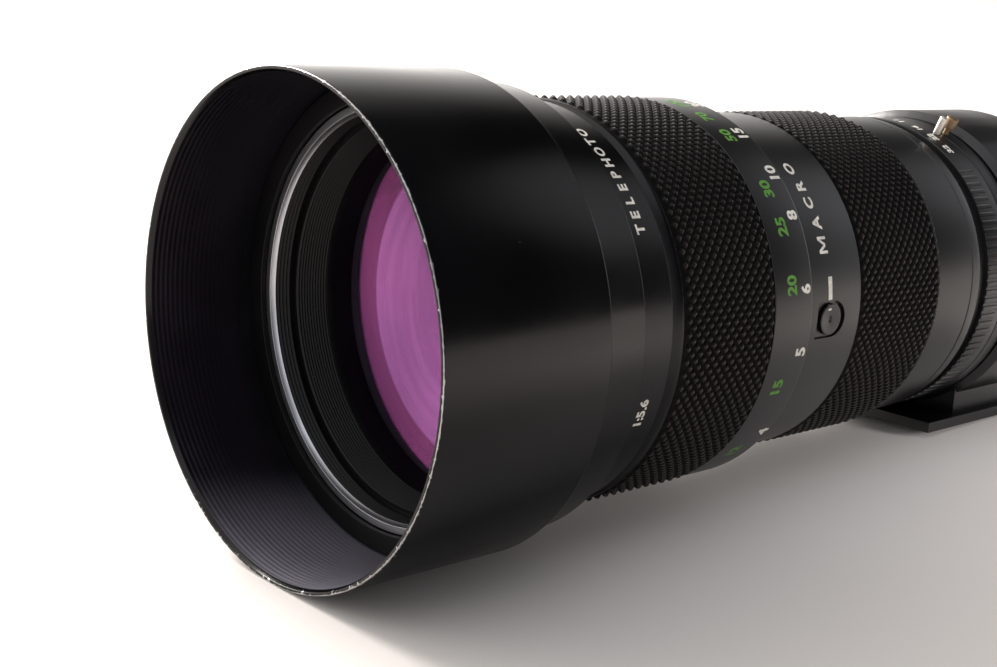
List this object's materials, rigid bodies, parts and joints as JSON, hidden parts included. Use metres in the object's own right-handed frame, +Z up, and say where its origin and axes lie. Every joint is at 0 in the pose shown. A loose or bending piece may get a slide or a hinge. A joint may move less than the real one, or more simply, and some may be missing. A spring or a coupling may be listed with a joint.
{
  "type": "telephoto zoom camera lens",
  "caption": "Long medium-format macro-zoom lens with a deep metal hood, two knurled rings, engraved distance scale, macro lock and a rotating tripod collar.",
  "frame": {"origin": "centre of the bayonet's flange face, where the camera body's mount face sits", "axes": "+Y along the optical axis towards the camera body, so the hood opens towards -Y; +Z up, away from the tripod foot; +X towards the side with the macro lock"},
  "size_m": [0.112, 0.2825, 0.112],
  "materials": {
    "satin_black": "satin black anodised aluminium, worn to bare metal on the rims",
    "hood_inside": "matt black, finely ribbed",
    "grip_black": "dull brown-black, cut in small pyramids",
    "bare_ring": "satin turned aluminium",
    "inner_metal": "dark turned aluminium",
    "cam_brass": "turned brass",
    "steel": "turned steel",
    "blade_steel": "blackened spring steel",
    "stud_bright": "polished pin",
    "knob_bronze": "dull bronze",
    "coated_front": "magenta anti-reflection coating",
    "coated_inner": "pale blue anti-reflection coating",
    "bayonet_steel": "satin chromed bayonet",
    "bush_brass": "threaded brass bush"
  },
  "bodies": {
    "barrel": {"outer_barrel": "inner_metal", "focus_key": "steel", "index_ring": "satin_black", "macro_spring": "steel", "guide_tube": "inner_metal", "rear_housing": "satin_black", "iris_housing": "inner_metal", "detent_ball": "steel", "detent_spring": "steel", "rear_barrel": "satin_black", "relay_cell": "inner_metal", "relay_glass": "coated_inner", "rear_glass": "coated_inner", "rear_retainer": "hood_inside", "bayonet_ring": "bayonet_steel", "mount_screws": "steel"},
    "front_group": {"lens_hood": "satin_black", "hood_clamp_ring": "hood_inside", "filter_ring": "bare_ring", "front_barrel": "satin_black", "front_baffle": "hood_inside", "front_retainer": "hood_inside", "front_cell": "inner_metal", "front_glass": "coated_front", "second_glass": "coated_inner"},
    "focus": {"focus_ring": "satin_black", "focus_grip": "grip_black", "distance_scale": "satin_black"},
    "macro_lock": {"macro_button": "satin_black"},
    "zoom": {"zoom_ring": "satin_black", "zoom_grip": "grip_black", "zoom_drive_screws": "steel", "cam_tube": "cam_brass"},
    "variator": {"variator_cell": "inner_metal", "variator_glass": "coated_inner", "variator_pins": "steel"},
    "compensator": {"compensator_cell": "inner_metal", "compensator_glass": "coated_inner", "compensator_pins": "steel"},
    "aperture": {"aperture_ring": "satin_black", "aperture_stud": "stud_bright", "aperture_drive_pin": "steel", "iris_actuator": "inner_metal"},
    "stop_down": {"stop_down_ring": "satin_black", "stop_down_knob": "knob_bronze"},
    "collar": {"tripod_collar": "satin_black", "foot_plate": "satin_black", "foot_screws": "steel", "tripod_bushes": "bush_brass"},
    "collar_lock": {"collar_lock_knob": "satin_black"},
    "blade_1": {"iris_blade_1": "blade_steel"},
    "blade_2": {"iris_blade_2": "blade_steel"},
    "blade_3": {"iris_blade_3": "blade_steel"},
    "blade_4": {"iris_blade_4": "blade_steel"},
    "blade_5": {"iris_blade_5": "blade_steel"},
    "blade_6": {"iris_blade_6": "blade_steel"}
  },
  "joints": [
    {"name": "focus_turn", "type": "hinge", "parent": "barrel", "child": "focus", "pos_m": [0, -0.18, 0], "axis": [0, -1, 0], "range_deg": [0, 160]},
    {"name": "front_slide", "type": "slide", "parent": "barrel", "child": "front_group", "axis": [0, -1, 0], "range_m": [0, 0.012]},
    {"name": "macro_press", "type": "slide", "parent": "barrel", "child": "macro_lock", "axis": [-0.9996, 0, 0.0279], "range_m": [0, 0.0013], "stiffness_N_per_m": 300, "springref_m": -0.001, "deforming": ["macro_spring"]},
    {"name": "zoom_turn", "type": "hinge", "parent": "barrel", "child": "zoom", "pos_m": [0, -0.113, 0], "axis": [0, -1, 0], "range_deg": [-18, 72]},
    {"name": "variator_slide", "type": "slide", "parent": "barrel", "child": "variator", "axis": [0, 1, 0], "range_m": [-0.0056, 0.0221]},
    {"name": "compensator_slide", "type": "slide", "parent": "barrel", "child": "compensator", "axis": [0, -1, 0], "range_m": [-0.0026, 0.0101]},
    {"name": "aperture_turn", "type": "hinge", "parent": "barrel", "child": "aperture", "pos_m": [0, -0.062, 0], "axis": [0, -1, 0], "range_deg": [0, 56]},
    {"name": "stop_down_turn", "type": "hinge", "parent": "barrel", "child": "stop_down", "pos_m": [0, -0.055, 0], "axis": [0, -1, 0], "range_deg": [0, 12], "stiffness_Nm_per_rad": 0.02, "springref_deg": -2.86},
    {"name": "collar_turn", "type": "hinge", "parent": "barrel", "child": "collar", "pos_m": [0, -0.0327, 0], "axis": [0, 1, 0], "range_deg": [-90, 90]},
    {"name": "collar_lock_turn", "type": "hinge", "parent": "collar", "child": "collar_lock", "pos_m": [-0.04532, -0.0327, -0.02113], "axis": [-0.9063, 0, -0.4226], "range_deg": [0, 360]},
    {"name": "blade_turn_1", "type": "hinge", "parent": "barrel", "child": "blade_1", "pos_m": [0.0315, -0.0648, 0], "axis": [0, -1, 0], "range_deg": [0, 28.1]},
    {"name": "blade_turn_2", "type": "hinge", "parent": "barrel", "child": "blade_2", "pos_m": [0.01575, -0.0648, 0.02728], "axis": [0, -1, 0], "range_deg": [0, 28.1]},
    {"name": "blade_turn_3", "type": "hinge", "parent": "barrel", "child": "blade_3", "pos_m": [-0.01575, -0.0648, 0.02728], "axis": [0, -1, 0], "range_deg": [0, 28.1]},
    {"name": "blade_turn_4", "type": "hinge", "parent": "barrel", "child": "blade_4", "pos_m": [-0.0315, -0.0648, 0], "axis": [0, -1, 0], "range_deg": [0, 28.1]},
    {"name": "blade_turn_5", "type": "hinge", "parent": "barrel", "child": "blade_5", "pos_m": [-0.01575, -0.0648, -0.02728], "axis": [0, -1, 0], "range_deg": [0, 28.1]},
    {"name": "blade_turn_6", "type": "hinge", "parent": "barrel", "child": "blade_6", "pos_m": [0.01575, -0.0648, -0.02728], "axis": [0, -1, 0], "range_deg": [0, 28.1]}
  ],
  "couplings": [
    {"joint": "front_slide", "follows": "focus_turn", "m_per_rad": 0.00429},
    {"joint": "variator_slide", "follows": "zoom_turn", "m_per_rad": 0.0175},
    {"joint": "compensator_slide", "follows": "zoom_turn", "m_per_rad": 0.00795},
    {"joint": "blade_turn_1", "follows": "aperture_turn", "ratio": 0.5},
    {"joint": "blade_turn_2", "follows": "aperture_turn", "ratio": 0.5},
    {"joint": "blade_turn_3", "follows": "aperture_turn", "ratio": 0.5},
    {"joint": "blade_turn_4", "follows": "aperture_turn", "ratio": 0.5},
    {"joint": "blade_turn_5", "follows": "aperture_turn", "ratio": 0.5},
    {"joint": "blade_turn_6", "follows": "aperture_turn", "ratio": 0.5}
  ]
}
